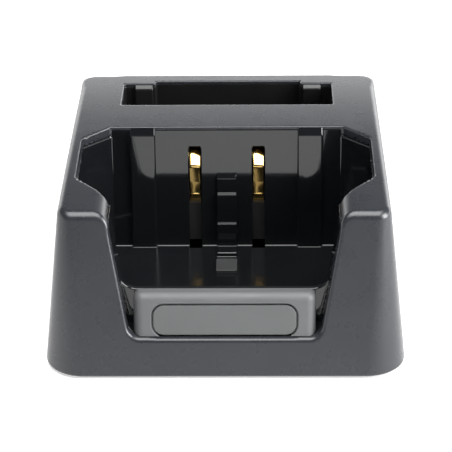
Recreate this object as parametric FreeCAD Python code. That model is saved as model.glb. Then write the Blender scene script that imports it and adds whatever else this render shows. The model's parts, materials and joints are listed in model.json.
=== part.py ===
"""Desktop charging cradle for a two-way radio, with a rear slot for its spare battery.

Millimetres. X is to the right, Y to the back, Z up; the origin is the bottom centre,
on the table. Each function makes one piece of the cradle where it lies when assembled.
"""
import FreeCAD, Part
import math
import os

V = FreeCAD.Vector

# Outer shell
WIDTH = 92.0                # at the lower rim
DEPTH = 98.7                # at the lower rim
RIM_Z = 0.8                 # the rubber feet hold the rim this far above the table
SIDE_DRAFT = 6.07           # degrees from upright
FRONT_LEAN = 14.9
BACK_DRAFT = 6.0
RIM_CORNER_R = 10.3
DECK_FRONT_CORNER_R = 3.1
DECK_BACK_CORNER_R = 3.9
DECK_CROWN_R = 625.0        # the deck is a shallow arch, highest behind the middle
DECK_APEX_Y = 21.3
DECK_APEX_Z = 44.39
DECK_FRONT_Z = 41.53        # where the deck meets the front face
DECK_EDGE_R = 1.9
WALL = 2.2
DECK_THICKNESS = 2.4
ABOVE = 50.0                # height to which cutting shapes run, clear of the deck

# Radio pocket: a leaning prism with a level floor
FLOOR_Z = 10.4
POCKET_LEAN = 6.7           # degrees that the radio leans back
POCKET_BACK_Y = 4.13        # back wall at the floor
POCKET_BACK_HALF = 31.4     # half width of the back wall
POCKET_HALF = 38.3          # half width of the side bays
BAY_FRONT_Y = -24.0         # where the side bays start to close in
NECK_HALF = 28.7
NECK_START_Y = -34.5
LINER = 1.6                 # wall of the pocket moulding

# U-shaped cut in the front, through which the radio's face shows
CUT_TOP_HALF = 28.8
CUT_LOW_HALF = 24.0
CUT_TOP_Z = 36.0
CUT_CORNER_R = 3.3
SHOULDER_R = 4.0

# Guide ribs and key on the pocket's back wall
GUIDE_X = (19.3, 25.9)
GUIDE_PROUD = 1.0
GUIDE_TOP_Z = 41.6
KEY_HALF = 2.65
KEY_STEPS = ((31.4, 0.6), (26.1, 1.3), (17.7, 2.0))   # top height and how far it stands out
KEY_PAD = (-12.0, -5.3, 0.9)                          # front, back and height of the floor pad

# Nameplate block and its blank plate
BLOCK_HALF = 23.0
BLOCK_TOP_Z = 21.0
BLOCK_TOP_R = 1.8
BLOCK_SETBACK = 1.0         # behind the front face
BLOCK_DEPTH = 3.4
LIP_GAP = 0.05              # between the block and the pocket's front lip
LIP_CORNER_R = 4.5
BLOCK_CORNER_R = 2.4
PLATE_HALF = 18.0
PLATE_Z = (10.9, 18.3)
PLATE_CORNER_R = 2.7
PLATE_GROOVE = 0.45
PLATE_DEPTH = 0.9
PLATE_SUNK = 0.15

# Battery slot
SLOT_HALF = 29.15
SLOT_Y = (23.0, 38.6)
SLOT_RELIEF_HALF = 20.4     # the middle of the back wall is set back
SLOT_RELIEF_Y = 40.3
SLOT_FLOOR_Z = 20.5
CUP_WALL = 1.5

# Sprung leaf contacts
CONTACT_X = 8.6
LEAF_WIDTH = 2.8
LEAF_THICKNESS = 0.35
ROOT_BEAD_R = 0.45
ROOT_BEHIND_WALL = 3.0      # the root lies this far behind the wall's visible face
TERMINAL_Z = 12.6
BATTERY_TERMINAL_Z = 20.8
LEAF_PROUD = 1.5            # how far the bend stands out of the wall
LEAF_APEX_Z = 33.8
LEAF_TOP_Z = 37.8
LEAF_TIP_BEHIND = 2.8
LEAF_EXIT_Z = 28.5
LEAF_EXIT_BEHIND = 0.7
LEAF_ROOT_Z = 24.0
CONTACT_SLOT_HALF = 1.65
CONTACT_SLOT_TOP_Z = 38.6
BATTERY_CONTACT_X = 12.0
BATTERY_LEAF_APEX_Z = 34.0
BATTERY_LEAF_ROOT_Z = 24.0
BATTERY_LEAF_EXIT_Z = 29.0
BATTERY_LEAF_TOP_Z = 39.0
HOLDER_DEPTH = 5.0
HOLDER_HALF = 13.5
HOLDER_Z = (11.5, 36.0)
BATTERY_HOLDER_HALF = 17.0
BATTERY_HOLDER_Z = (20.0, 37.0)
CHANNEL_DEPTH = 4.3         # room behind each leaf
CHANNEL_LOW_Z = 22.0        # the holder is solid below the radio leaves
TERMINAL_THICKNESS = 0.35
BATTERY_SLOT_TOP_Z = 41.0

# Base, board and fasteners
BASE_THICKNESS = 2.0
BASE_GAP = 0.15
BOSS_R = 3.1
BOSS_PLACES = [(sx * 36.0, y) for y in (-40.5, 42.5) for sx in (-1, 1)]
BOSS_TOP_Z = 26.0
SCREW_R = 1.4
SCREW_HEAD_R = 2.7
SCREW_HEAD_H = 1.3
SCREW_LENGTH = 10.0
FOOT_R = 4.5
FOOT_RECESS = 0.7
FOOT_PLACES = [(sx * 25.0, y) for y in (-41.5, 41.5) for sx in (-1, 1)]
BOARD_HALF = 31.0
BOARD_Y = (9.5, 45.8)
BOARD_Z = 5.2
BOARD_THICKNESS = 1.6
STANDOFF_R = 2.6
BOARD_SCREWS = [(sx * 27.0, y) for y in (14.0, 40.0) for sx in (-1, 1)]
JACK_HALF = 4.5
JACK_HEIGHT = 10.6
JACK_Y = (33.0, 45.3)
JACK_NOSE_R = 4.1
JACK_FACE_Y = 47.8
JACK_AXIS_Z = BOARD_Z + BOARD_THICKNESS + 5.2
JACK_BORE_R = 2.9
JACK_BORE_DEPTH = 9.5
JACK_PIN_R = 1.0
LEAD_R = 0.65
BOARD_TOP_Z = BOARD_Z + BOARD_THICKNESS


def tan(degrees):
    return math.tan(math.radians(degrees))


def box(x, y, z):
    """Box between two values on each axis."""
    return Part.makeBox(x[1] - x[0], y[1] - y[0], z[1] - z[0], V(x[0], y[0], z[0]))


def cylinder(radius, low, high):
    return Part.makeCylinder(radius, (high - low).Length, low, high - low)


def fuse(solids):
    joined = solids[0].multiFuse(solids[1:])
    return joined.removeSplitter()


def compound(solids):
    return Part.makeCompound(solids)


def mirrored(solid):
    """The same solid on the other side of the middle plane."""
    return solid.mirror(V(0, 0, 0), V(1, 0, 0))


def both_sides(solid):
    return [mirrored(solid), solid]


def rounded_wire(corners, place):
    """Closed wire through (a, b, radius) corners; place turns (a, b) into a point."""
    rounds = []
    for i, (a, b, radius) in enumerate(corners):
        here = V(a, b, 0)
        before = V(*corners[i - 1][:2], 0)
        after = V(*corners[(i + 1) % len(corners)][:2], 0)
        to_before = (before - here).normalize()
        to_after = (after - here).normalize()
        half_angle = to_before.getAngle(to_after) / 2
        tangent = radius / math.tan(half_angle)
        inward = (to_before + to_after).normalize()
        middle = here + inward * (radius / math.sin(half_angle) - radius)
        rounds.append((here + to_before * tangent, middle, here + to_after * tangent))
    edges = []
    for i, (start, middle, end) in enumerate(rounds):
        last = rounds[i - 1][2]
        if (start - last).Length > 1e-6:
            edges.append(Part.makeLine(place(last.x, last.y), place(start.x, start.y)))
        if (end - start).Length > 1e-6:
            points = [place(p.x, p.y) for p in (start, middle, end)]
            edges.append(Part.Arc(*points).toShape())
    return Part.Wire(edges)


def prism(corners, place, direction):
    return Part.Face(rounded_wire(corners, place)).extrude(direction)


def level(z):
    """Places plan coordinates at height z."""
    return lambda x, y: V(x, y, z)


def front_y(z):
    """Front face of the shell at height z."""
    return -DEPTH / 2 + (z - RIM_Z) * tan(FRONT_LEAN)


def pocket_back_y(z):
    """Back wall of the radio pocket at height z."""
    return POCKET_BACK_Y + (z - FLOOR_Z) * tan(POCKET_LEAN)


def shell_outline(z, inset):
    rise = z - RIM_Z
    share = rise / (DECK_APEX_Z - RIM_Z)
    half = WIDTH / 2 - rise * tan(SIDE_DRAFT) - inset
    front = front_y(z) + inset
    back = DEPTH / 2 - rise * tan(BACK_DRAFT) - inset
    front_r = RIM_CORNER_R + share * (DECK_FRONT_CORNER_R - RIM_CORNER_R) - inset
    back_r = RIM_CORNER_R + share * (DECK_BACK_CORNER_R - RIM_CORNER_R) - inset
    front_r = max(front_r, 0.5)
    back_r = max(back_r, 0.5)
    corners = [(-half, front, front_r), (half, front, front_r),
               (half, back, back_r), (-half, back, back_r)]
    return rounded_wire(corners, level(z))


def deck_z(y, drop=0.0):
    """Height of the deck's arch at y, or of the arch that runs drop below it."""
    radius = DECK_CROWN_R - drop
    return DECK_APEX_Z - DECK_CROWN_R + math.sqrt(radius ** 2 - (y - DECK_APEX_Y) ** 2)


def under_deck(drop):
    """Everything under the arched deck."""
    ends = [V(-60, y, deck_z(y, drop)) for y in (-60.0, DECK_APEX_Y, 60.0)]
    feet = [V(-60, 60, -5), V(-60, -60, -5)]
    edges = [Part.Arc(*ends).toShape(), Part.makeLine(ends[2], feet[0]),
             Part.makeLine(feet[0], feet[1]), Part.makeLine(feet[1], ends[0])]
    return Part.Face(Part.Wire(edges)).extrude(V(120, 0, 0))


def shell_block(inset, low_z, deck_drop):
    """The shell's tapered outer form, or its hollow, under the arched deck."""
    block = Part.makeLoft([shell_outline(low_z, inset), shell_outline(46.0, inset)], True, True)
    return block.common(under_deck(deck_drop))


def pocket_void(grow=0.0):
    """Space that the radio's body and its side bays take, leaning back."""
    half = POCKET_BACK_HALF + 0.4 * grow
    wide = POCKET_HALF + grow
    corner_y = POCKET_BACK_Y - (POCKET_HALF - POCKET_BACK_HALF)
    corners = [(half, POCKET_BACK_Y + grow, 0.8), (wide, corner_y + 0.4 * grow, 3.0),
               (wide, BAY_FRONT_Y - 0.4 * grow, 2.5), (NECK_HALF - 5, NECK_START_Y - 5.5 - grow, 1.0)]
    outline = corners + [(-x, y, radius) for x, y, radius in reversed(corners)]
    low_z = FLOOR_Z - grow
    climb = ABOVE - low_z
    slope = tan(POCKET_LEAN)
    shifted = [(x, y - grow * slope, radius) for x, y, radius in outline]
    return prism(shifted, level(low_z), V(0, climb * slope, climb))


def front_cut(grow=0.0, shoulders=True, low_z=FLOOR_Z, corner_r=CUT_CORNER_R):
    """The U in the front face and its rounded shoulders, run back along the deck's slope."""
    start_y = -60.0
    front, back = front_y(DECK_FRONT_Z), -26.0
    slope = (deck_z(back) - DECK_FRONT_Z) / (back - front)

    def on_start_plane(z):
        return z - slope * (front_y(z) - start_y)

    top = on_start_plane(DECK_FRONT_Z) - 0.02
    low = on_start_plane(low_z) - grow
    share = (low_z - FLOOR_Z) / (CUT_TOP_Z - FLOOR_Z)
    half_low = CUT_LOW_HALF + share * (CUT_TOP_HALF - CUT_LOW_HALF) + grow
    half_top = CUT_TOP_HALF + grow
    corners = [(half_low, low, corner_r + grow), (half_top, on_start_plane(CUT_TOP_Z), 6.0)]
    if shoulders:
        corners += [(half_top, top, SHOULDER_R), (half_top + SHOULDER_R, top, 0.0),
                    (half_top + SHOULDER_R, top + 9, 0.0)]
    else:
        corners += [(half_top, top + 9, 0.0)]
    outline = corners + [(-x, z, radius) for x, z, radius in reversed(corners)]
    return prism(outline, lambda x, z: V(x, start_y, z), V(0, 35.0, 35.0 * slope))


def slot_void(grow=0.0):
    """Space for the spare battery, with a set-back middle in its back wall."""
    low_z = SLOT_FLOOR_Z - grow
    corners = [(SLOT_HALF + grow, SLOT_Y[0] - grow, 0.9), (SLOT_HALF + grow, SLOT_Y[1] + grow, 0.9),
               (SLOT_RELIEF_HALF + grow, SLOT_Y[1] + grow, 0.4),
               (SLOT_RELIEF_HALF + grow, SLOT_RELIEF_Y + grow, 0.4)]
    outline = corners + [(-x, y, radius) for x, y, radius in reversed(corners)]
    return prism(outline, level(low_z), V(0, 0, ABOVE - low_z))


def wall_pad(x, z, proud, top_chamfer=0.5):
    """Raised pad on the pocket's leaning back wall."""
    low, high = z
    corners = [(pocket_back_y(low) + 0.5, low, 0), (pocket_back_y(high) + 0.5, high, 0),
               (pocket_back_y(high), high, 0),
               (pocket_back_y(high - top_chamfer) - proud, high - top_chamfer, 0),
               (pocket_back_y(low) - proud, low, 0)]
    return prism(corners, lambda y, z: V(x[0], y, z), V(x[1] - x[0], 0, 0))


def lean(point):
    """Turns a direction from upright to the pocket's lean."""
    return FreeCAD.Rotation(V(1, 0, 0), -POCKET_LEAN).multVec(point)


def screw(seat, direction, length, radius, head_radius, head_height):
    """Screw whose head lies on seat and whose shank runs along direction."""
    shank = cylinder(radius, seat, seat + direction * length)
    head = cylinder(head_radius, seat - direction * head_height, seat)
    drive = cylinder(head_radius * 0.45, seat - direction * head_height,
                     seat - direction * head_height * 0.45)
    return shank.fuse(head).cut(drive)


def strip(points, radii, width, thickness):
    """Bent metal strip along (y, z) points, centred on x = 0."""
    half = thickness / 2
    sides = []
    for sign in (1, -1):
        side = []
        for i, (y, z) in enumerate(points):
            here = V(y, z, 0)
            to_here = (here - V(*points[i - 1], 0)) if i > 0 else None
            to_next = (V(*points[i + 1], 0) - here) if i < len(points) - 1 else None
            first = (to_here or to_next).normalize()
            second = (to_next or to_here).normalize()
            normal = V(-first.y - second.y, first.x + second.x, 0).normalize()
            spread = half / normal.dot(V(-first.y, first.x, 0))
            turn = first.x * second.y - first.y * second.x
            radius = max(radii[i] - sign * math.copysign(half, turn), 0.05) if radii[i] else 0.0
            edge = here + normal * spread * sign
            side.append((edge.x, edge.y, radius))
        sides.append(side)
    outline = sides[0] + list(reversed(sides[1]))
    return prism(outline, lambda y, z: V(-width / 2, y, z), V(width, 0, 0))


def lead(points):
    """Round insulated lead along straight runs joined by tangent arcs."""
    edges = []
    last = points[0]
    for before, here, after in zip(points, points[1:], points[2:]):
        back = (before - here).normalize()
        on = (after - here).normalize()
        half_angle = back.getAngle(on) / 2
        shorter = min((before - here).Length, (after - here).Length)
        reach = 0.45 * shorter
        radius = reach * math.tan(half_angle)
        middle = here + (back + on).normalize() * (radius / math.sin(half_angle) - radius)
        edges.append(Part.makeLine(last, here + back * reach))
        edges.append(Part.Arc(here + back * reach, middle, here + on * reach).toShape())
        last = here + on * reach
    edges.append(Part.makeLine(last, points[-1]))
    path = Part.Wire(edges)
    section = Part.Wire(Part.makeCircle(LEAD_R, points[0], points[1] - points[0]))
    return path.makePipeShell([section], True, False)


def top_housing():
    outer = shell_block(0, RIM_Z, 0)
    deck = [edge for face in outer.Faces if face.CenterOfMass.z > 40 for edge in face.Edges]
    outer = outer.makeFillet(DECK_EDGE_R, deck)
    hollow = shell_block(WALL, RIM_Z - 1, DECK_THICKNESS)
    shell = outer.cut(hollow)
    bosses = [cylinder(BOSS_R, V(x, y, RIM_Z + BASE_THICKNESS), V(x, y, BOSS_TOP_Z))
              for x, y in BOSS_PLACES]
    shell = fuse([shell] + [boss.common(outer) for boss in bosses])
    pilots = [cylinder(SCREW_R + 0.03, V(x, y, RIM_Z), V(x, y, 13.0)) for x, y in BOSS_PLACES]
    jack_hole = cylinder(JACK_NOSE_R + 0.1, V(0, 40, JACK_AXIS_Z), V(0, 55, JACK_AXIS_Z))
    for tool in [pocket_void(), front_cut(), slot_void(), jack_hole] + pilots:
        shell = shell.cut(tool)
    return shell


def front_lip():
    """Front wall of the pocket behind the nameplate block, curving up into the sides of the U."""
    near = front_y(BLOCK_TOP_Z) + BLOCK_SETBACK + BLOCK_DEPTH + LIP_GAP
    wall = box((-30, 30), (near, near + LINER), (FLOOR_Z - 0.5, BLOCK_TOP_Z + 6))
    above = front_cut(low_z=BLOCK_TOP_Z - 0.6, corner_r=LIP_CORNER_R)
    return wall.common(front_cut()).cut(above)


def radio_pocket():
    """Glossy inner moulding: leaning back wall, side bays, level floor and neck walls."""
    hollow = shell_block(WALL, RIM_Z - 1, DECK_THICKNESS)
    body = pocket_void(LINER).fuse(front_cut(LINER, shoulders=False)).common(hollow)
    body = body.cut(box((-60, 60), (-60, 60), (RIM_Z - 2, FLOOR_Z - LINER)))
    for void in (pocket_void(), front_cut()):
        body = body.cut(void)
    pads = [wall_pad((-KEY_HALF, KEY_HALF), (FLOOR_Z - 0.5, top), proud) for top, proud in KEY_STEPS]
    pads.append(box((-KEY_HALF, KEY_HALF), (-2.1, POCKET_BACK_Y), (FLOOR_Z - 0.5, FLOOR_Z + 0.8)))
    pads.append(box((-KEY_HALF - 0.2, KEY_HALF + 0.2), KEY_PAD[:2], (FLOOR_Z - 0.5, FLOOR_Z + KEY_PAD[2])))
    pads += both_sides(wall_pad(GUIDE_X, (FLOOR_Z - 0.5, GUIDE_TOP_Z), GUIDE_PROUD, 1.0))
    body = fuse([body, front_lip()] + pads)
    for x in (-CONTACT_X, CONTACT_X):
        across = (x - CONTACT_SLOT_HALF, x + CONTACT_SLOT_HALF)
        body = body.cut(box(across, (POCKET_BACK_Y - 1.2, 12.0), (FLOOR_Z - 3, CONTACT_SLOT_TOP_Z)))
    for hole in radio_holder_screws():
        body = body.cut(hole)
    return body


def nameplate_block():
    """Lip at the foot of the U, set back a little from the front face."""
    low = front_y(FLOOR_Z) + BLOCK_SETBACK
    high = front_y(BLOCK_TOP_Z) + BLOCK_SETBACK
    corners = [(low, FLOOR_Z, 0), (high, BLOCK_TOP_Z, 0), (high + BLOCK_DEPTH, BLOCK_TOP_Z, 0),
               (high + BLOCK_DEPTH, FLOOR_Z, 0)]
    block = prism(corners, lambda y, z: V(-BLOCK_HALF, y, z), V(2 * BLOCK_HALF, 0, 0))
    upright = [edge for edge in block.Edges if abs(edge.CenterOfMass.x) > BLOCK_HALF - 0.01
               and abs(edge.CenterOfMass.y - (low + high) / 2) < 0.01]
    block = block.makeFillet(BLOCK_CORNER_R, upright)
    top = [edge for edge in block.Edges if edge.BoundBox.ZMin > BLOCK_TOP_Z - 0.01
           and edge.BoundBox.YMin < high + BLOCK_DEPTH - 0.01]
    block = block.makeFillet(BLOCK_TOP_R, top)
    return block.common(front_cut()).cut(plate_form(PLATE_GROOVE, -0.5, PLATE_DEPTH))


def plate_form(grow, start, end):
    """Rounded rectangle between two depths below the block's front face."""
    low, high = PLATE_Z[0] - grow, PLATE_Z[1] + grow
    half = PLATE_HALF + grow
    radius = PLATE_CORNER_R + grow
    outline = [(-half, low, radius), (half, low, radius), (half, high, radius), (-half, high, radius)]
    inward = V(0, math.cos(math.radians(FRONT_LEAN)), -math.sin(math.radians(FRONT_LEAN)))
    face = lambda x, z: V(x, front_y(z) + BLOCK_SETBACK, z) + inward * start
    return prism(outline, face, inward * (end - start))


def nameplate():
    """Blank plate just below the block's face, in a groove of its own outline."""
    return plate_form(0.0, PLATE_SUNK, PLATE_DEPTH)


def battery_cup():
    hollow = shell_block(WALL, RIM_Z - 1, DECK_THICKNESS)
    cup = slot_void(CUP_WALL).common(hollow).cut(slot_void())
    for x in (-BATTERY_CONTACT_X, BATTERY_CONTACT_X):
        across = (x - CONTACT_SLOT_HALF, x + CONTACT_SLOT_HALF)
        cup = cup.cut(box(across, (SLOT_Y[0] - 4, SLOT_Y[0] + 1), (SLOT_FLOOR_Z - 3, BATTERY_SLOT_TOP_Z)))
    for hole in battery_holder_screws():
        cup = cup.cut(hole)
    return cup


def rolled_root(leaf, y, z):
    """The leaf with its root end rolled into a bead, about which it flexes."""
    half = LEAF_WIDTH / 2
    return leaf.fuse(cylinder(ROOT_BEAD_R, V(-half, y, z), V(half, y, z)))


def radio_contact():
    """Bent leaf at x = 0 whose bend stands out of the pocket's back wall."""
    points = [(pocket_back_y(LEAF_ROOT_Z) + ROOT_BEHIND_WALL, LEAF_ROOT_Z),
              (pocket_back_y(LEAF_EXIT_Z) + LEAF_EXIT_BEHIND, LEAF_EXIT_Z),
              (pocket_back_y(LEAF_APEX_Z) - LEAF_PROUD, LEAF_APEX_Z),
              (pocket_back_y(LEAF_TOP_Z) + LEAF_TIP_BEHIND, LEAF_TOP_Z)]
    return rolled_root(strip(points, (0, 2.0, 0.8, 0), LEAF_WIDTH, LEAF_THICKNESS), *points[0])


def battery_contact():
    """The same kind of leaf, facing back into the battery slot."""
    wall = SLOT_Y[0]
    points = [(wall - ROOT_BEHIND_WALL, BATTERY_LEAF_ROOT_Z), (wall - 1.4, BATTERY_LEAF_EXIT_Z),
              (wall + LEAF_PROUD, BATTERY_LEAF_APEX_Z), (wall - 1.2, BATTERY_LEAF_TOP_Z)]
    return rolled_root(strip(points, (0, 2.0, 0.8, 0), LEAF_WIDTH, LEAF_THICKNESS), *points[0])


def terminal(root_y, root_z, low_z, end_y):
    """Fixed tab under a leaf's root, with a tongue to which the lead is soldered."""
    half = LEAF_WIDTH / 2
    upright = box((-half, half), (root_y - 0.17, root_y + 0.17), (low_z, root_z - ROOT_BEAD_R - 0.1))
    tongue_y = sorted((root_y - math.copysign(0.17, end_y - root_y), end_y))
    return upright.fuse(box((-half, half), tongue_y, (low_z, low_z + TERMINAL_THICKNESS)))


def radio_terminals():
    tab = terminal(pocket_back_y(LEAF_ROOT_Z) + ROOT_BEHIND_WALL, LEAF_ROOT_Z, TERMINAL_Z, 13.0)
    return [tab.translated(V(x, 0, 0)) for x in (-CONTACT_X, CONTACT_X)]


def battery_terminals():
    tab = terminal(SLOT_Y[0] - ROOT_BEHIND_WALL, BATTERY_LEAF_ROOT_Z, BATTERY_TERMINAL_Z, 14.4)
    return [tab.translated(V(x, 0, 0)) for x in (-BATTERY_CONTACT_X, BATTERY_CONTACT_X)]


def radio_contact_holder():
    """Comb-shaped block behind the pocket wall; a leaf moves in each channel."""
    low, high = HOLDER_Z
    front = LINER
    corners = [(pocket_back_y(low) + front, low, 0), (pocket_back_y(high) + front, high, 0),
               (pocket_back_y(high) + front + HOLDER_DEPTH, high, 0),
               (pocket_back_y(low) + front + HOLDER_DEPTH, low, 0)]
    block = prism(corners, lambda y, z: V(-HOLDER_HALF, y, z), V(2 * HOLDER_HALF, 0, 0))
    near, far = front - 1, front + CHANNEL_DEPTH
    low, high = CHANNEL_LOW_Z, high + 1
    channel = [(pocket_back_y(low) + near, low, 0), (pocket_back_y(high) + near, high, 0),
               (pocket_back_y(high) + far, high, 0), (pocket_back_y(low) + far, low, 0)]
    for x in (-CONTACT_X, CONTACT_X):
        block = block.cut(prism(channel, lambda y, z: V(x - CONTACT_SLOT_HALF, y, z),
                                V(2 * CONTACT_SLOT_HALF, 0, 0)))
    for tool in radio_terminals() + radio_holder_screws():
        block = block.cut(tool)
    return block


def battery_contact_holder():
    back = SLOT_Y[0] - CUP_WALL
    block = box((-BATTERY_HOLDER_HALF, BATTERY_HOLDER_HALF), (back - HOLDER_DEPTH, back), BATTERY_HOLDER_Z)
    for x in (-BATTERY_CONTACT_X, BATTERY_CONTACT_X):
        block = block.cut(box((x - CONTACT_SLOT_HALF, x + CONTACT_SLOT_HALF),
                              (back - CHANNEL_DEPTH, back + 1), (10.0, ABOVE)))
    for tool in battery_terminals() + battery_holder_screws():
        block = block.cut(tool)
    return block


def radio_holder_screws():
    inward = lean(V(0, -1, 0))
    seats = [V(0, pocket_back_y(z) + LINER + HOLDER_DEPTH, z) for z in (19.0, 28.5)]
    return [screw(seat, inward, 6.8, 0.9, 1.7, 1.1) for seat in seats]


def battery_holder_screws():
    seats = [V(0, SLOT_Y[0] - CUP_WALL - HOLDER_DEPTH, z) for z in (24.0, 33.0)]
    return [screw(seat, V(0, 1, 0), 6.2, 0.9, 1.7, 1.1) for seat in seats]


def radio_leads():
    z = TERMINAL_Z + TERMINAL_THICKNESS + LEAD_R
    run = [V(CONTACT_X, 11.6, z), V(CONTACT_X, 17.4, z), V(CONTACT_X, 17.4, BOARD_TOP_Z)]
    return both_sides(lead(run))


def battery_leads():
    x = BATTERY_CONTACT_X
    run = [V(x, 15.3, BATTERY_TERMINAL_Z), V(x, 15.3, 15.5), V(x, 20.0, 11.0), V(x, 20.0, BOARD_TOP_Z)]
    return both_sides(lead(run))


def base_plate():
    inset = WALL + BASE_GAP
    outlines = [shell_outline(z, inset) for z in (RIM_Z, RIM_Z + BASE_THICKNESS)]
    plate = Part.makeLoft(outlines, True, True)
    standoffs = [cylinder(STANDOFF_R, V(x, y, RIM_Z + 1), V(x, y, BOARD_Z)) for x, y in BOARD_SCREWS]
    plate = fuse([plate] + standoffs)
    cuts = []
    for x, y in BOSS_PLACES:
        cuts.append(cylinder(SCREW_R + 0.2, V(x, y, 0), V(x, y, 5)))
        cuts.append(cylinder(SCREW_HEAD_R + 0.2, V(x, y, 0), V(x, y, RIM_Z + SCREW_HEAD_H)))
    for x, y in FOOT_PLACES:
        cuts.append(cylinder(FOOT_R, V(x, y, 0), V(x, y, RIM_Z + FOOT_RECESS)))
    for x, y in BOARD_SCREWS:
        cuts.append(cylinder(1.03, V(x, y, RIM_Z + 1.2), V(x, y, 8)))
    for cut in cuts:
        plate = plate.cut(cut)
    return plate


def rubber_feet():
    feet = [cylinder(FOOT_R, V(x, y, 0), V(x, y, RIM_Z + FOOT_RECESS)) for x, y in FOOT_PLACES]
    return [foot.makeFillet(0.4, [e for e in foot.Edges if e.BoundBox.ZMax < 0.01]) for foot in feet]


def base_screws():
    return [screw(V(x, y, RIM_Z + SCREW_HEAD_H), V(0, 0, 1), SCREW_LENGTH, SCREW_R, SCREW_HEAD_R,
                  SCREW_HEAD_H) for x, y in BOSS_PLACES]


def circuit_board():
    corners = [(-BOARD_HALF, BOARD_Y[0], 1.5), (BOARD_HALF, BOARD_Y[0], 1.5),
               (BOARD_HALF, BOARD_Y[1], 1.5), (-BOARD_HALF, BOARD_Y[1], 1.5)]
    board = prism(corners, level(BOARD_Z), V(0, 0, BOARD_THICKNESS))
    for x, y in BOARD_SCREWS:
        board = board.cut(cylinder(1.2, V(x, y, 0), V(x, y, 10)))
    return board


def board_screws():
    return [screw(V(x, y, BOARD_TOP_Z), V(0, 0, -1), 4.6, 1.0, 1.9, 1.2) for x, y in BOARD_SCREWS]


def dc_jack():
    """Board-mounted barrel socket; its nose looks out of the back wall."""
    body = box((-JACK_HALF, JACK_HALF), JACK_Y, (BOARD_TOP_Z, BOARD_TOP_Z + JACK_HEIGHT))
    nose = cylinder(JACK_NOSE_R, V(0, JACK_Y[1] - 1, JACK_AXIS_Z), V(0, JACK_FACE_Y, JACK_AXIS_Z))
    bore = cylinder(JACK_BORE_R, V(0, JACK_FACE_Y - JACK_BORE_DEPTH, JACK_AXIS_Z),
                    V(0, JACK_FACE_Y + 1, JACK_AXIS_Z))
    return fuse([body, nose]).cut(bore)


def dc_jack_pin():
    bottom = JACK_FACE_Y - JACK_BORE_DEPTH
    pin = cylinder(JACK_PIN_R, V(0, bottom, JACK_AXIS_Z), V(0, JACK_FACE_Y - 0.8, JACK_AXIS_Z))
    return pin.makeFillet(0.45, [e for e in pin.Edges if e.BoundBox.YMin > bottom + 1])


def input_capacitor():
    can = cylinder(4.0, V(-19, 35, BOARD_TOP_Z), V(-19, 35, BOARD_TOP_Z + 9.5))
    return can.makeFillet(0.6, [e for e in can.Edges if e.BoundBox.ZMin > BOARD_TOP_Z + 1])


def power_inductor():
    block = box((-24, -16.7), (21, 28.3), (BOARD_TOP_Z, BOARD_TOP_Z + 4))
    return block.makeFillet(1.2, [e for e in block.Edges if abs(e.CenterOfMass.z - BOARD_TOP_Z - 2) < 0.1])


def charge_controllers():
    return [box((x - 2.5, x + 2.5), (25.5, 29.5), (BOARD_TOP_Z, BOARD_TOP_Z + 1.6)) for x in (-6, 8)]


def input_fuse():
    return box((11, 15.6), (36, 39.2), (BOARD_TOP_Z, BOARD_TOP_Z + 0.9))


def build():
    leaf = radio_contact()
    back_leaf = battery_contact()
    nodes = {
        "top_housing": top_housing(), "radio_pocket": radio_pocket(),
        "nameplate_block": nameplate_block(), "nameplate": nameplate(),
        "battery_cup": battery_cup(), "base_plate": base_plate(),
        "rubber_feet": compound(rubber_feet()), "base_screws": compound(base_screws()),
        "circuit_board": circuit_board(), "board_screws": compound(board_screws()),
        "dc_jack": dc_jack(), "dc_jack_pin": dc_jack_pin(),
        "input_capacitor": input_capacitor(), "power_inductor": power_inductor(),
        "charge_controllers": compound(charge_controllers()), "input_fuse": input_fuse(),
        "radio_contact_holder": radio_contact_holder(),
        "radio_holder_screws": compound(radio_holder_screws()),
        "radio_contact_left": leaf.translated(V(-CONTACT_X, 0, 0)),
        "radio_contact_right": leaf.translated(V(CONTACT_X, 0, 0)),
        "radio_terminals": compound(radio_terminals()), "radio_leads": compound(radio_leads()),
        "battery_contact_holder": battery_contact_holder(),
        "battery_holder_screws": compound(battery_holder_screws()),
        "battery_contact_left": back_leaf.translated(V(-BATTERY_CONTACT_X, 0, 0)),
        "battery_contact_right": back_leaf.translated(V(BATTERY_CONTACT_X, 0, 0)),
        "battery_terminals": compound(battery_terminals()),
        "battery_leads": compound(battery_leads()),
    }
    os.makedirs("parts", exist_ok=True)
    for name, shape in nodes.items():
        shape.exportStep(f"parts/{name}.step")
        print(name, "valid", shape.isValid(), "solids", len(shape.Solids), "volume", round(shape.Volume, 1))


build()
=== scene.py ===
"""Looks of a desktop charging cradle for a two-way radio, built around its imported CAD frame."""

import json
import math

import bmesh
import bpy
import numpy as np
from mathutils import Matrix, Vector


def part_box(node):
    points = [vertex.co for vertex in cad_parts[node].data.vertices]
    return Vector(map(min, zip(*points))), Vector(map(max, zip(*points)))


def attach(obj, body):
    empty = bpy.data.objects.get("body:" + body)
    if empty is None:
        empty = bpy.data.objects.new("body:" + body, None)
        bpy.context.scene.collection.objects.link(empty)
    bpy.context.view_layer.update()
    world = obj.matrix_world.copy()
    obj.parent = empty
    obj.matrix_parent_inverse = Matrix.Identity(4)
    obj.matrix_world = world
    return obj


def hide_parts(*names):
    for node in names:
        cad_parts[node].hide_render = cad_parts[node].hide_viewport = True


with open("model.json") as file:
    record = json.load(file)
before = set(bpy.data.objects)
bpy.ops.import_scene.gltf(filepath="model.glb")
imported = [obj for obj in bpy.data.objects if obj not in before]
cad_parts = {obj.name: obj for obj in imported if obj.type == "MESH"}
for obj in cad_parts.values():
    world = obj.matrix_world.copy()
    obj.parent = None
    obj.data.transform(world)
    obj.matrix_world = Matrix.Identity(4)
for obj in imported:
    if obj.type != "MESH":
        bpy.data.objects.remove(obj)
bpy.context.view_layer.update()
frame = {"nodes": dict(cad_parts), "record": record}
MM = 0.001
NODES = frame["nodes"]


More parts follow.
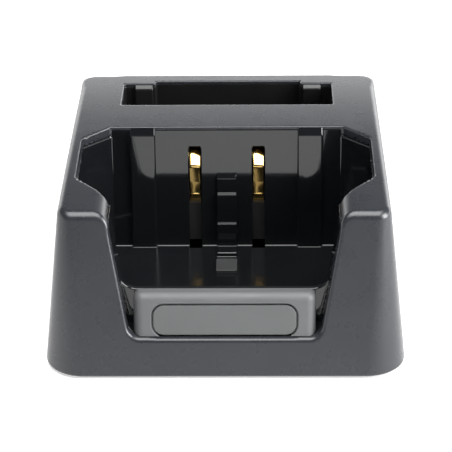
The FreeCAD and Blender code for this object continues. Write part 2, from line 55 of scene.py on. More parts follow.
def node_box(name):
    """Lowest and highest corner of a CAD node, in millimetres."""
    low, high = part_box(name)
    return np.array(low) / MM, np.array(high) / MM


# ---------------------------------------------------------------- form, in millimetres
# Housing; its overall size comes from the frame
SHELL_LOW, SHELL_HIGH = node_box("top_housing")
RIM_Z = SHELL_LOW[2]
APEX_Z = SHELL_HIGH[2]
HALF_WIDTH = SHELL_HIGH[0]
FRONT_Y = SHELL_LOW[1]
BACK_Y = SHELL_HIGH[1]
SIDE_DRAFT = math.radians(6.07)
FRONT_LEAN = math.radians(14.9)
BACK_DRAFT = math.radians(6.0)
CROWN_R = 625.0
APEX_Y = 21.3
RIM_CORNER_R = 10.3
FRONT_CORNER_R = 3.1
BACK_CORNER_R = 3.9
EDGE_R = 1.7
CUT_EDGE_R = 0.9
BACK_EDGE_R = 0.7
BACK_EDGE_Y = (36.0, 43.0)
MOUTH_R = 0.4
WALL = 2.2
DECK_THICKNESS = 2.4
JACK_HOLE_R = 4.2
JACK_Z = 12.0
JACK_HOLE_Y = 40.0

# U-shaped cut in the front
FLOOR_Z = 10.4
CUT_LOW_HALF = 24.0
CUT_TOP_HALF = 28.8
CUT_TOP_Z = 36.0
CUT_CORNER_R = 3.3
CUT_BEND_R = 12.0
CUT_SLOPE = 0.0853
CUT_LEVEL_Y = -46.8
CUT_END_Y = -26.0
SHOULDER_R = 4.0

# Radio pocket
POCKET_LEAN = math.radians(6.7)
POCKET_BACK_Y = 4.13
POCKET_BACK_HALF = 31.4
POCKET_BACK_R = 0.6
POCKET_HALF = 38.3
BAY_FRONT_Y = -24.0
BAY_BACK_R = 2.2
BAY_FRONT_R = 2.5
NECK_HALF = 23.7
NECK_LENGTH = 16.0
NECK_SLOPE = math.atan2(POCKET_HALF - NECK_HALF, NECK_LENGTH)
LEAD_IN_Z = (41.4, 41.8)
LEAD_IN = 0.3
LINER = 1.6
RIB_X = (19.3, 25.9)
RIB_PROUD = 1.0
RIB_TOP = (43.9, 1.6)
KEY_HALF = 2.65
KEY_STEPS = ((31.4, 0.6, 1.3), (26.1, 1.3, 0.35), (17.7, 2.0, 0.15))
SILL_Y = (-2.1, 5.0)
SILL_HEIGHT = 0.8
CONTACT_X = 8.6
CONTACT_SLOT_HALF = 1.65
CONTACT_SLOT_TOP_Z = 38.6
CONTACT_SLOT_Y = 2.9
PAD_HALF = 2.85
PAD_Y = (-12.0, -5.3)
PAD_HEIGHT = 0.9

# Battery slot
SLOT_HALF = 29.15
SLOT_Y = (23.0, 38.6)
SLOT_FLOOR_Z = 20.5
RELIEF_HALF = 20.4
RELIEF_Y = 40.3
CUP_WALL = 1.5
CUP_RIB_X = (21.2, 26.3)
CUP_RIB_PROUD = 0.9
CUP_RIB_TOP = (43.6, 1.1)
CUP_CONTACT_X = 12.0
CUP_CONTACT_SLOT_HALF = 1.8
CUP_CONTACT_SLOT_TOP_Z = 41.0

# Ledges where both linings are let into the housing, and how far their ribs reach into the walls
LEDGE_DEPTH = 0.9
LEDGE_LOW_Z = 40.5
LEDGE_HALF = 30.0
LEDGE_FRONT_Y = 2.0
SUNK = 0.4

# Nameplate block, its plate and the pocket's lip behind it
BLOCK_HALF = 23.0
BLOCK_SETBACK = 1.0
BLOCK_TOP_Z = 21.0
BLOCK_DEPTH = 3.4
BLOCK_BACK_Y = FRONT_Y + (BLOCK_TOP_Z - RIM_Z) * math.tan(FRONT_LEAN) + BLOCK_SETBACK + BLOCK_DEPTH
BLOCK_CORNER_R = 2.4
BLOCK_TOP_R = 1.8
PLATE_HALF = 18.0
PLATE_Z = (10.9, 18.3)
PLATE_R = 2.7
PLATE_SUNK = 0.15
PLATE_DEPTH = 0.9
GROOVE = 0.45
LIP_GAP = 0.05
LIP_CORNER_R = 4.5
LIP_LOW_Z = 20.2
LIP_TOP_Z = 27.0


# ---------------------------------------------------------------- distance fields
def both(a, b, radius=0.0, cosine=0.0):
    """Space inside both fields with a rounded edge; cosine is that of the angle between them."""
    u, v = a + radius, b + radius
    squared = (u * u + v * v - 2 * u * v * cosine) / (1 - cosine ** 2)
    arc = np.sqrt(np.maximum(squared, 0)) - radius
    return np.where((u > cosine * v) & (v > cosine * u), arc, np.maximum(a, b))


def either(a, b, radius=0.0):
    """Space inside at least one field, with the inner corner between them rounded."""
    return -both(-a, -b, radius)


def walls_field(x, y, z, inset):
    """Drafted walls whose upright corners tighten towards the deck."""
    rise = z - RIM_Z
    share = rise / (APEX_Z - RIM_Z)
    side = (np.abs(x) - HALF_WIDTH + rise * math.tan(SIDE_DRAFT)) * math.cos(SIDE_DRAFT) + inset
    front = (FRONT_Y + rise * math.tan(FRONT_LEAN) - y) * math.cos(FRONT_LEAN) + inset
    back = (y - BACK_Y + rise * math.tan(BACK_DRAFT)) * math.cos(BACK_DRAFT) + inset
    front_r = np.maximum(RIM_CORNER_R + share * (FRONT_CORNER_R - RIM_CORNER_R) - inset, 0.5)
    back_r = np.maximum(RIM_CORNER_R + share * (BACK_CORNER_R - RIM_CORNER_R) - inset, 0.5)
    return np.maximum(both(side, front, front_r), both(side, back, back_r))


def deck_field(y, z):
    """Space under the arched deck."""
    return np.hypot(y - APEX_Y, z - APEX_Z + CROWN_R) - CROWN_R


def hollow_field(x, y, z):
    """Inside of the housing."""
    return np.maximum(walls_field(x, y, z, WALL), deck_field(y, z) + DECK_THICKNESS)


def front_cut_field(x, y, z, grow=0.0, low=FLOOR_Z, corner_r=CUT_CORNER_R):
    """The U in the front, which climbs a little towards the back."""
    level = z - CUT_SLOPE * (y - CUT_LEVEL_Y)
    spread = math.atan2(CUT_TOP_HALF - CUT_LOW_HALF, CUT_TOP_Z - FLOOR_Z)
    leaning = (np.abs(x) - CUT_LOW_HALF) * math.cos(spread) - (level - FLOOR_Z) * math.sin(spread) - grow
    wall = both(leaning, np.abs(x) - CUT_TOP_HALF - grow, CUT_BEND_R, math.cos(spread))
    bottom = low - level - grow
    return np.maximum(both(wall, bottom, corner_r + grow, math.sin(spread)), y - CUT_END_Y)


def pocket_field(x, y, z, grow=0.0):
    """The leaning pocket seen from above, with lead-in chamfers round its side bays."""
    plan_y = y - (z - FLOOR_Z) * math.tan(POCKET_LEAN)
    side = np.abs(x)
    low, high = LEAD_IN_Z
    inset = LEAD_IN * np.clip((high - z) / (high - low), 0, 1) - grow
    slope = math.sqrt(0.5)
    outer = side - POCKET_HALF + inset
    back_diagonal = (side - POCKET_BACK_HALF + plan_y - POCKET_BACK_Y) * slope + inset
    front_diagonal = ((side - POCKET_HALF) * math.cos(NECK_SLOPE)
                      - (plan_y - BAY_FRONT_Y) * math.sin(NECK_SLOPE)) + inset
    bay = both(outer, back_diagonal, BAY_BACK_R, slope)
    bay = both(bay, front_diagonal, BAY_FRONT_R, math.cos(NECK_SLOPE))
    back = (plan_y - POCKET_BACK_Y) * math.cos(POCKET_LEAN) - grow
    return both(bay, back, POCKET_BACK_R, slope)


def slab(value, low, high):
    """Space between two parallel planes."""
    return np.abs(value - (low + high) / 2) - (high - low) / 2


def sloped_top(z, proud, top, fall):
    """Space under a crest at height top that falls by fall for each millimetre it stands proud."""
    return (z - top + proud * fall) / math.hypot(1, fall)


def slot_field(x, y, grow=0.0):
    """The battery slot with its set-back middle."""
    narrow = both(np.abs(x) - SLOT_HALF - grow, slab(y, SLOT_Y[0], SLOT_Y[1]) - grow, 0.5)
    relief = both(np.abs(x) - RELIEF_HALF - grow, slab(y, SLOT_Y[0], RELIEF_Y) - grow, 0.4)
    return either(narrow, relief, 0.3)


def ledge_band(y, z, grow):
    """Height band of the ledges just below the deck."""
    return np.maximum(deck_field(y, z) + LEDGE_DEPTH + (1.0 - grow) * 0.2, LEDGE_LOW_Z - z)


def pocket_ledge_field(x, y, z, grow):
    """Upper end of the pocket's back wall, let into the housing."""
    middle = np.maximum(np.abs(x) - LEDGE_HALF - grow, LEDGE_FRONT_Y - y)
    return np.maximum(np.maximum(pocket_field(x, y, z, grow), middle), ledge_band(y, z, grow))


def slot_ledge_field(x, y, z, grow):
    """Upper end of the battery cup, let into the housing."""
    return np.maximum(slot_field(x, y, grow), ledge_band(y, z, grow))


def top_housing_field(x, y, z):
    """A shell with a U-cut front, the pocket's mouth and the battery slot."""
    top = both(deck_field(y, z), -front_cut_field(x, y, z), SHOULDER_R)
    edge_r = CUT_EDGE_R + (EDGE_R - CUT_EDGE_R) * np.clip((np.abs(x) - CUT_TOP_HALF) / SHOULDER_R, 0, 1)
    start, end = BACK_EDGE_Y
    edge_r = edge_r - (EDGE_R - BACK_EDGE_R) * np.clip((y - start) / (end - start), 0, 1)
    body = both(walls_field(x, y, z, 0.0), top, edge_r)
    ledges = np.minimum(pocket_ledge_field(x, y, z, 0.9), slot_ledge_field(x, y, z, 0.8))
    body = both(body, -np.maximum(pocket_field(x, y, z), FLOOR_Z - z), MOUTH_R)
    body = both(body, -np.maximum(slot_field(x, y), SLOT_FLOOR_Z - z), MOUTH_R)
    body = both(body, RIM_Z - z, 0.5)
    jack_hole = np.maximum(np.hypot(x, z - JACK_Z) - JACK_HOLE_R, JACK_HOLE_Y - y)
    body = np.maximum(body, -ledges)
    return np.maximum(both(body, -jack_hole, 0.4), -hollow_field(x, y, z))


def radio_pocket_field(x, y, z):
    """Glossy liner of the pocket with its lip, ribs, stepped key and contact slots."""
    inside = both(pocket_field(x, y, z), FLOOR_Z - z, 0.2)
    outside = np.minimum(pocket_field(x, y, z, LINER), front_cut_field(x, y, z, LINER))
    liner = np.maximum(np.maximum(outside, hollow_field(x, y, z)), FLOOR_Z - LINER - z)
    liner = np.minimum(liner, pocket_ledge_field(x, y, z, 0.85))
    liner = np.maximum(liner, -np.minimum(inside, front_cut_field(x, y, z)))

    lip_y = BLOCK_BACK_Y + LIP_GAP
    lip_outline = -front_cut_field(x, y, z, 0.0, LIP_LOW_Z, LIP_CORNER_R)
    lip = both(slab(y, lip_y, lip_y + LINER), lip_outline, 0.4)
    liner = np.minimum(liner, np.maximum(np.maximum(lip, front_cut_field(x, y, z, 0.3)), z - LIP_TOP_Z))

    proud = ((z - FLOOR_Z) * math.tan(POCKET_LEAN) + POCKET_BACK_Y - y) * math.cos(POCKET_LEAN)
    root = np.maximum(-proud - SUNK, FLOOR_Z - 0.5 - z)
    rib = both(slab(np.abs(x), *RIB_X), both(proud - RIB_PROUD, sloped_top(z, proud, *RIB_TOP), 0.2), 0.25)
    liner = either(liner, np.maximum(rib, root), 0.15)
    for top, out, chamfer in KEY_STEPS:
        crest = (z - top + chamfer * np.clip(proud / out, 0, 1)) * 0.8
        step = both(np.abs(x) - KEY_HALF, both(proud - out, crest, 0.15), 0.15)
        liner = np.minimum(liner, np.maximum(step, root))

    sill_front, sill_back = SILL_Y
    sill = both(np.abs(x) - KEY_HALF, both(sill_front - y, z - FLOOR_Z - SILL_HEIGHT, 0.15), 0.15)
    liner = np.minimum(liner, np.maximum(np.maximum(sill, y - sill_back), FLOOR_Z - 0.5 - z))
    slot_plan = np.abs(np.abs(x) - CONTACT_X) - CONTACT_SLOT_HALF
    slot = np.maximum(both(slot_plan, z - CONTACT_SLOT_TOP_Z, 0.4), CONTACT_SLOT_Y - y)
    return both(liner, -slot, 0.22)


def battery_cup_field(x, y, z):
    """Inner moulding of the rear slot with lead-in ribs on its back wall and contact slots in front."""
    outside = np.maximum(slot_field(x, y, CUP_WALL), SLOT_FLOOR_Z - CUP_WALL - z)
    inside = both(slot_field(x, y), SLOT_FLOOR_Z - z, 0.5)
    cup = np.minimum(np.maximum(outside, hollow_field(x, y, z)), slot_ledge_field(x, y, z, 0.75))
    cup = np.maximum(cup, -inside)
    proud = SLOT_Y[1] - y
    top = both(proud - CUP_RIB_PROUD, sloped_top(z, proud, *CUP_RIB_TOP), 0.2)
    rib = both(slab(np.abs(x), *CUP_RIB_X), top, 0.3)
    cup = np.minimum(cup, np.maximum(rib, np.maximum(-proud - SUNK, SLOT_FLOOR_Z - z)))
    slot_plan = np.abs(np.abs(x) - CUP_CONTACT_X) - CUP_CONTACT_SLOT_HALF
    slot = np.maximum(slot_plan, np.maximum(z - CUP_CONTACT_SLOT_TOP_Z, y - SLOT_Y[0] - 0.5))
    return np.maximum(cup, -slot)


def behind_face(y, z):
    """Depth behind the face of the nameplate block, and the height seen square to that face."""
    face = FRONT_Y + (z - RIM_Z) * math.tan(FRONT_LEAN) + BLOCK_SETBACK
    depth = (y - face) * math.cos(FRONT_LEAN)
    return depth, z + depth * math.sin(FRONT_LEAN)


def plate_outline(x, height, grow):
    """Rounded outline of the plate, seen square to the block's face."""
    upright = slab(height, PLATE_Z[0] - grow, PLATE_Z[1] + grow) / math.cos(FRONT_LEAN)
    return both(np.abs(x) - PLATE_HALF - grow, upright, PLATE_R + grow)


def nameplate_block_field(x, y, z):
    """Block at the foot of the U with a recess for the plate and a groove round it."""
    depth, height = behind_face(y, z)
    body = both(np.abs(x) - BLOCK_HALF, -depth, BLOCK_CORNER_R)
    body = both(body, z - BLOCK_TOP_Z, BLOCK_TOP_R)
    body = np.maximum(np.maximum(body, y - BLOCK_BACK_Y), front_cut_field(x, y, z) + 0.02)
    recess = np.maximum(plate_outline(x, height, GROOVE), depth - PLATE_DEPTH)
    return both(body, -recess, 0.2)


def nameplate_field(x, y, z):
    """Blank plate, a little below the block's face."""
    depth, height = behind_face(y, z)
    return both(plate_outline(x, height, 0.0), slab(depth, PLATE_SUNK, PLATE_DEPTH), 0.18)


def floor_pad_field(x, y, z):
    """Textured pad on the pocket's floor in front of the key."""
    plan = both(np.abs(x) - PAD_HALF, slab(y, *PAD_Y), 0.3)
    return both(plan, slab(z, FLOOR_Z - 0.3, FLOOR_Z + PAD_HEIGHT), 0.15)


# ---------------------------------------------------------------- meshes
SETTLING_ROUNDS = 6


def ticks(*spans):
    """Grid lines over spans of (start, end, step)."""
    lines = [np.linspace(a, b, max(round((b - a) / step), 1), endpoint=False) for a, b, step in spans]
    return np.append(np.concatenate(lines), spans[-1][1])


def gradient(field, points, reach=0.02):
    """Slope of a field at each point, from samples reach to either side."""
    slopes = []
    for axis in range(3):
        step = np.zeros(3)
        step[axis] = reach
        slopes.append(field(*(points + step).T) - field(*(points - step).T))
    return np.stack(slopes, axis=1) / (2 * reach)


def net_mesh(name, field, xs, ys, zs):
    """Smooth closed mesh where field is zero: one point in each grid cell that the surface crosses."""
    inside = field(*np.meshgrid(xs, ys, zs, indexing="ij")) < 0
    cells = tuple(n - 1 for n in inside.shape)
    count = np.zeros(cells, int)
    for i in (0, 1):
        for j in (0, 1):
            for k in (0, 1):
                count += inside[i:i + cells[0], j:j + cells[1], k:k + cells[2]]
    mixed = (count > 0) & (count < 8)
    index = np.full(cells, -1)
    index[mixed] = np.arange(mixed.sum())
    places = np.argwhere(mixed)
    middles = [(line[1:] + line[:-1]) / 2 for line in (xs, ys, zs)]
    points = np.stack([middles[a][places[:, a]] for a in range(3)], axis=1)
    for _ in range(SETTLING_ROUNDS):
        slope = gradient(field, points)
        steepness = np.maximum((slope ** 2).sum(1), 0.05)
        move = slope * (field(*points.T) / steepness)[:, None]
        points = points - np.clip(move, -0.5, 0.5)
    quads = []
    for axis in range(3):
        along = np.zeros(3, int)
        along[axis] = 1
        shape = [n - 1 if a == axis else n for a, n in enumerate(inside.shape)]
        lower = inside[:shape[0], :shape[1], :shape[2]]
        upper = inside[along[0]:, along[1]:, along[2]:]
        edges = np.argwhere(lower != upper)
        u, v = (axis + 1) % 3, (axis + 2) % 3
        step_u = np.eye(3, dtype=int)[u]
        step_v = np.eye(3, dtype=int)[v]
        ring = [index[tuple(p.T)] for p in (edges, edges - step_u, edges - step_u - step_v, edges - step_v)]
        ring = np.stack(ring, axis=1)
        outward = lower[tuple(edges.T)]
        ring[~outward] = ring[~outward][:, ::-1]
        quads.append(ring)
    quads = np.concatenate(quads)
    mesh = bpy.data.meshes.new(name)
    mesh.from_pydata((points * MM).tolist(), [], quads.tolist())
    mesh.polygons.foreach_set("use_smooth", [True] * len(mesh.polygons))
    normals = gradient(field, points, 0.05)
    normals /= np.maximum(np.linalg.norm(normals, axis=1), 1e-6)[:, None]
    mesh.normals_split_custom_set_from_vertices(normals.tolist())
    return new_piece(name, mesh)


def new_piece(name, mesh):
    """Object in the scene that shows a mesh."""
    piece = bpy.data.objects.new(name, mesh)
    bpy.context.scene.collection.objects.link(piece)
    return piece


def softened(node, width):
    """A CAD node's own form with its sharp edges rounded by width."""
    mesh = NODES[node].data.copy()
    form = bmesh.new()
    form.from_mesh(mesh)
    bmesh.ops.remove_doubles(form, verts=form.verts, dist=1e-7)
    bmesh.ops.dissolve_limit(form, angle_limit=math.radians(0.8), verts=form.verts, edges=form.edges)
    form.to_mesh(mesh)
    form.free()
    mesh.polygons.foreach_set("use_smooth", [True] * len(mesh.polygons))
    piece = new_piece(node + "_form", mesh)
    bevel = piece.modifiers.new("edge", "BEVEL")
    bevel.width = width * MM
    bevel.segments = 2
    bevel.limit_method = "ANGLE"
    bevel.angle_limit = math.radians(28)
    bevel.harden_normals = True
    bpy.context.view_layer.update()
    graph = bpy.context.evaluated_depsgraph_get()
    rounded = bpy.data.meshes.new_from_object(piece.evaluated_get(graph))
    piece.modifiers.clear()
    piece.data = rounded
    return piece


# ---------------------------------------------------------------- materials
class Shader:
    """Small helper around one node material."""

    def __init__(self, name, **values):
        self.material = bpy.data.materials.new(name)
        self.material.use_nodes = True
        self.tree = self.material.node_tree
        self.main = self.tree.nodes["Principled BSDF"]
        for key, value in values.items():
            self.main.inputs[key.replace("_", " ")].default_value = value
        self.place = self.add("ShaderNodeTexCoord").outputs["Object"]

    def add(self, kind, **settings):
        node = self.tree.nodes.new(kind)
        for key, value in settings.items():
            setattr(node, key, value)
        return node

    def link(self, start, end):
        self.tree.links.new(start, end)

    def noise(self, size, detail=2.0, roughness=0.5):
        """Noise whose features are about size metres across."""
        node = self.add("ShaderNodeTexNoise")
        node.inputs["Scale"].default_value = 1.0 / size
        node.inputs["Detail"].default_value = detail
        node.inputs["Roughness"].default_value = roughness
        self.link(self.place, node.inputs["Vector"])
        return node.outputs["Fac"]

    def spread(self, source, low, high, start=0.3, end=0.7):
        """Maps source from start..end to low..high."""
        node = self.add("ShaderNodeMapRange")
        for key, value in zip(("From Min", "From Max", "To Min", "To Max"), (start, end, low, high)):
            node.inputs[key].default_value = value
        self.link(source, node.inputs["Value"])
        return node.outputs["Result"]

    def tint(self, source, dark, light):
        """Base colour between two shades."""
        node = self.add("ShaderNodeMix", data_type="RGBA")
        node.inputs["A"].default_value = (*dark, 1.0)
        node.inputs["B"].default_value = (*light, 1.0)
        self.link(source, node.inputs["Factor"])
        self.link(node.outputs["Result"], self.main.inputs["Base Color"])

    def bump(self, *layers):
        """Adds bump layers of (height, distance in metres, strength)."""
        last = None
        for height, distance, strength in layers:
            node = self.add("ShaderNodeBump")
            node.inputs["Distance"].default_value = distance
            node.inputs["Strength"].default_value = strength
            self.link(height, node.inputs["Height"])
            if last is not None:
                self.link(last, node.inputs["Normal"])
            last = node.outputs["Normal"]
        self.link(last, self.main.inputs["Normal"])


def moulded_plastic(name, dark, light, rough, grain, grain_depth, strength=0.3):
    """Moulded plastic: grain from the tool, slow tone changes and slightly uneven gloss."""
    shader = Shader(name, IOR=1.5)
    shader.tint(shader.spread(shader.noise(0.012, 3.0), 0, 1), dark, light)
    uneven = shader.noise(0.005, 4.0)
    shader.link(shader.spread(uneven, *rough), shader.main.inputs["Roughness"])
    shader.bump((shader.noise(grain, 3.0, 0.6), grain_depth, strength),
                (shader.noise(0.008, 2.0), 0.00002, 0.02))
    return shader.material


def housing_plastic():
    return moulded_plastic("housing_plastic", (0.0130, 0.0145, 0.0180), (0.0155, 0.0170, 0.0205),
                           (0.26, 0.30), 0.00022, 0.000002)


def pocket_plastic():
    """Polished black walls and a duller floor."""
    shader = Shader("pocket_plastic", IOR=1.5)
    shader.tint(shader.spread(shader.noise(0.012, 3.0), 0, 1), (0.0044, 0.0050, 0.0058),
                (0.0056, 0.0062, 0.0070))
    facing = shader.add("ShaderNodeSeparateXYZ")
    shader.link(shader.add("ShaderNodeNewGeometry").outputs["Normal"], facing.inputs["Vector"])
    shader.link(shader.spread(facing.outputs["Z"], 0.05, 0.16, 0.8, 0.97), shader.main.inputs["Roughness"])
    shader.bump((shader.noise(0.008, 2.0), 0.00002, 0.12))
    return shader.material


def cup_plastic():
    return moulded_plastic("cup_plastic", (0.005, 0.005, 0.0055), (0.007, 0.007, 0.0075),
                           (0.28, 0.34), 0.0006, 0.000006, 0.1)


def block_plastic():
    return moulded_plastic("block_plastic", (0.068, 0.071, 0.074), (0.078, 0.081, 0.084),
                           (0.48, 0.58), 0.00032, 0.00003, 0.5)


def nameplate_plastic():
    return moulded_plastic("nameplate_plastic", (0.066, 0.070, 0.070), (0.072, 0.076, 0.076),
                           (0.42, 0.48), 0.00015, 0.000008)


def base_plastic():
    return moulded_plastic("base_plastic", (0.026, 0.027, 0.028), (0.032, 0.033, 0.034),
                           (0.45, 0.58), 0.00035, 0.00002)


def jack_plastic():
    return moulded_plastic("jack_plastic", (0.010, 0.010, 0.011), (0.014, 0.014, 0.015),
                           (0.30, 0.42), 0.0003, 0.00001)


def holder_plastic():
    return moulded_plastic("holder_plastic", (0.005, 0.005, 0.0055), (0.007, 0.007, 0.0075),
                           (0.50, 0.60), 0.0003, 0.00001)


def component_black():
    return moulded_plastic("component_black", (0.012, 0.012, 0.013), (0.020, 0.020, 0.021),
                           (0.5, 0.62), 0.0002, 0.00001)


def foot_rubber():
    return moulded_plastic("foot_rubber", (0.018, 0.018, 0.018), (0.028, 0.027, 0.027),
                           (0.72, 0.85), 0.0004, 0.00004, 0.6)


def lead_insulation():
    return moulded_plastic("lead_insulation", (0.30, 0.018, 0.015), (0.36, 0.024, 0.018),
                           (0.35, 0.45), 0.0008, 0.00001)


def board_laminate():
    return moulded_plastic("board_laminate", (0.010, 0.075, 0.028), (0.016, 0.11, 0.042),
                           (0.25, 0.35), 0.0010, 0.00001)


def fuse_green():
    return moulded_plastic("fuse_green", (0.03, 0.20, 0.08), (0.05, 0.26, 0.11), (0.3, 0.4), 0.0004, 0.00001)


def worn_metal(name, dark, light, rough, streak=(1.0, 1.0, 0.08)):
    """Plated metal with fine drawn streaks."""
    shader = Shader(name, Metallic=1.0)
    mapping = shader.add("ShaderNodeMapping")
    mapping.inputs["Scale"].default_value = streak
    shader.link(shader.place, mapping.inputs["Vector"])
    shader.place = mapping.outputs["Vector"]
    streaks = shader.noise(0.00025, 4.0, 0.6)
    shader.tint(shader.spread(shader.noise(0.003, 2.0), 0, 1), dark, light)
    shader.link(shader.spread(streaks, *rough), shader.main.inputs["Roughness"])
    shader.bump((streaks, 0.000004, 0.2))
    return shader.material


def contact_gold():
    return worn_metal("contact_gold", (0.80, 0.52, 0.16), (0.92, 0.65, 0.25), (0.09, 0.15))


def screw_steel():
    return worn_metal("screw_steel", (0.42, 0.42, 0.43), (0.52, 0.52, 0.53), (0.25, 0.38), (1, 1, 1))


def pin_metal():
    return worn_metal("pin_metal", (0.60, 0.60, 0.58), (0.70, 0.70, 0.68), (0.15, 0.25), (1, 0.1, 1))


def capacitor_can():
    return worn_metal("capacitor_can", (0.58, 0.58, 0.60), (0.68, 0.68, 0.70), (0.30, 0.40))


FINISHES = {maker.__name__: maker() for maker in (
    housing_plastic, pocket_plastic, cup_plastic, block_plastic, nameplate_plastic, base_plastic, foot_rubber,
    screw_steel, board_laminate, jack_plastic, pin_metal, capacitor_can, component_black, fuse_green,
    holder_plastic, contact_gold, lead_insulation)}
SLOTS = {entry["node"]: entry["material_slot"] for entry in frame["record"]["subparts"]}


def paint(piece, slot):
    """Gives a piece the finish of a material slot."""
    piece.data.materials.clear()
    piece.data.materials.append(FINISHES[slot])


# ---------------------------------------------------------------- pieces
def mirrored_ticks(*spans):
    """Grid lines on both sides of x = 0."""
    half = ticks(*spans)
    return np.concatenate([-half[::-1], half])


def moulded_forms():
    """Fields and grid lines of the moulded pieces, by the node that each replaces."""
    return {
        "top_housing": (top_housing_field, mirrored_ticks((0.5, 19, 1.3), (19, 46.6, 0.42)),
                        ticks((-50.2, -24, 0.45), (-24, 6, 1.2), (6, 9.5, 0.3), (9.5, 22, 1.2),
                              (22, 24, 0.3), (24, 37.6, 1.2), (37.6, 50.2, 0.42)),
                        ticks((0.2, 2.0, 0.4), (2.0, 8, 1.0), (8, 16.5, 0.5), (16.5, 35, 1.0),
                              (35, 45.2, 0.35))),
        "radio_pocket": (radio_pocket_field,
                         mirrored_ticks((0.15, 2.2, 0.3), (2.2, 3.2, 0.2), (3.2, 6.2, 0.6),
                                        (6.2, 7.4, 0.2), (7.4, 9.8, 0.5), (9.8, 11.2, 0.2),
                                        (11.2, 18.8, 0.9), (18.8, 20.0, 0.2), (20.0, 32.0, 0.35),
                                        (32.0, 42.2, 0.5)),
                         ticks((-49, -41.5, 0.6), (-41.5, -27, 0.3), (-27, 1.5, 0.8), (1.5, 14, 0.3)),
                         ticks((8.2, 12.2, 0.3), (12.2, 27, 0.4), (27, 38.5, 0.6), (38.5, 44.6, 0.25))),
        "battery_cup": (battery_cup_field,
                        mirrored_ticks((0.5, 9.5, 1.0), (9.5, 14.5, 0.4), (14.5, 19.5, 1.0),
                                       (19.5, 31.5, 0.3)),
                        ticks((20.8, 24, 0.3), (24, 36, 1.0), (36, 42.6, 0.25)),
                        ticks((18.4, 22, 0.4), (22, 40, 1.0), (40, 44.4, 0.25))),
        "nameplate_block": (nameplate_block_field, mirrored_ticks((0.5, 17, 1.0), (17, 23.8, 0.2)),
                            ticks((-47.2, -37.0, 0.2)), ticks((10.0, 21.6, 0.2))),
        "nameplate": (nameplate_field, mirrored_ticks((0.5, 14.5, 1.0), (14.5, 18.6, 0.15)),
                      ticks((-46.2, -42.2, 0.12)), ticks((10.2, 18.9, 0.15))),
    }


def replace_node(piece, node, body):
    """Lets a piece stand in for a CAD node, with its slot and finish."""
    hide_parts(node)
    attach(piece, body)
    paint(piece, SLOTS[node])


def build_pieces():
    """Moulded forms, softened metal and base, the floor pad, and finishes on the CAD nodes left over."""
    for node, (field, xs, ys, zs) in moulded_forms().items():
        replace_node(net_mesh(node + "_form", field, xs, ys, zs), node, "cradle")
    replace_node(softened("base_plate", 0.25), "base_plate", "cradle")
    for side in ("left", "right"):
        for kind in ("radio", "battery"):
            node = f"{kind}_contact_{side}"
            replace_node(softened(node, 0.07), node, f"{kind}_leaf_{side}")
    pad = net_mesh("floor_pad", floor_pad_field, ticks((-3.4, 3.4, 0.15)), ticks((-12.5, -4.8, 0.15)),
                   ticks((9.8, 11.7, 0.12)))
    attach(pad, "cradle")
    paint(pad, "base_plastic")
    for name, node in NODES.items():
        paint(node, SLOTS[name])


# ---------------------------------------------------------------- stage
def stage():
    """Plain pale floor that shines softly, so that it meets the white tent without a line."""
    floor_mesh = bpy.data.meshes.new("floor")
    reach = 6.0
    floor_mesh.from_pydata([(-reach, -reach, 0), (reach, -reach, 0), (reach, reach, 0), (-reach, reach, 0)],
                           [], [(0, 1, 2, 3)])
    floor = new_piece("floor", floor_mesh)
    pale = bpy.data.materials.new("pale_floor")
    pale.use_nodes = True
    surface = pale.node_tree.nodes["Principled BSDF"]
    surface.inputs["Base Color"].default_value = (0.62, 0.62, 0.62, 1)
    surface.inputs["Roughness"].default_value = 0.9
    surface.inputs["Emission Color"].default_value = (1.0, 1.0, 1.0, 1)
    surface.inputs["Emission Strength"].default_value = 0.55
    floor_mesh.materials.append(pale)


def area_light(name, place, target, size, power):
    """Rectangular soft box at place, turned towards target."""
    data = bpy.data.lights.new(name, "AREA")
    data.shape = "RECTANGLE"
    data.size, data.size_y = size
    data.energy = power
    light = bpy.data.objects.new(name, data)
    light.location = place
    light.rotation_euler = (Vector(target) - Vector(place)).to_track_quat("-Z", "Y").to_euler()
    bpy.context.scene.collection.objects.link(light)


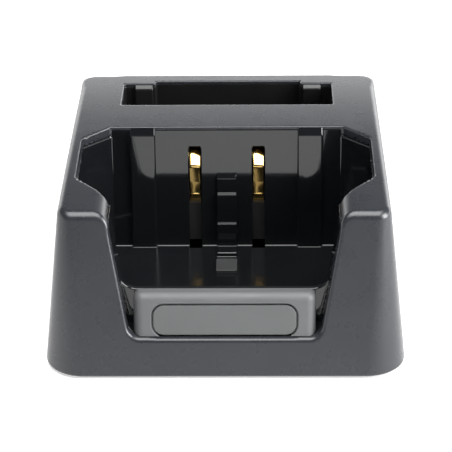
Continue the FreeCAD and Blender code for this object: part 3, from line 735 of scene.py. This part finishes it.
def sky():
    """White tent: bright low walls at the back and sides, dimmer overhead and round the camera."""
    world = bpy.data.worlds.new("tent")
    bpy.context.scene.world = world
    world.use_nodes = True
    tree = world.node_tree
    direction = tree.nodes.new("ShaderNodeTexCoord").outputs["Generated"]
    axes = tree.nodes.new("ShaderNodeSeparateXYZ")
    tree.links.new(direction, axes.inputs["Vector"])

    def ramp(source, start, end, low, high):
        node = tree.nodes.new("ShaderNodeMapRange")
        node.interpolation_type = "SMOOTHSTEP"
        for key, value in zip(("From Min", "From Max", "To Min", "To Max"), (start, end, low, high)):
            node.inputs[key].default_value = value
        tree.links.new(source, node.inputs["Value"])
        return node.outputs["Result"]

    def join(operation, a, b):
        node = tree.nodes.new("ShaderNodeMath")
        node.operation = operation
        tree.links.new(a, node.inputs[0])
        tree.links.new(b, node.inputs[1])
        return node.outputs["Value"]

    tree.nodes["Background"].inputs["Color"].default_value = (1.0, 1.0, 1.0, 1.0)
    walls = ramp(axes.outputs["Z"], 0.24, 0.42, 3.0, 0.15)
    front = ramp(axes.outputs["Y"], -0.75, -0.1, 0.15, 1.0)
    right = ramp(axes.outputs["X"], -0.9, 0.9, 0.8, 1.4)
    tree.links.new(join("MULTIPLY", join("MULTIPLY", walls, front), right),
                   tree.nodes["Background"].inputs["Strength"])


def studio():
    sky()
    area_light("top_box", (0.0, -0.2, 1.15), (0, 0, 0.03), (1.0, 0.9), 24)
    area_light("right_strip", (0.55, -0.25, 0.32), (0.05, -0.05, 0.0), (0.35, 0.45), 9)
    bpy.context.scene.view_settings.view_transform = "Standard"


def camera():
    """Eye at the photo's angle, about half a metre in front of the cradle."""
    data = bpy.data.cameras.new("camera")
    data.lens = 152.13
    data.sensor_width = 36.0
    data.clip_start = 0.01
    eye = bpy.data.objects.new("camera", data)
    eye.location = Vector((8.22, -461.36, 253.42)) * MM
    eye.rotation_euler = [math.radians(turn) for turn in (63.014, 0.554, 0.766)]
    bpy.context.scene.collection.objects.link(eye)
    bpy.context.scene.camera = eye


build_pieces()
stage()
studio()
camera()
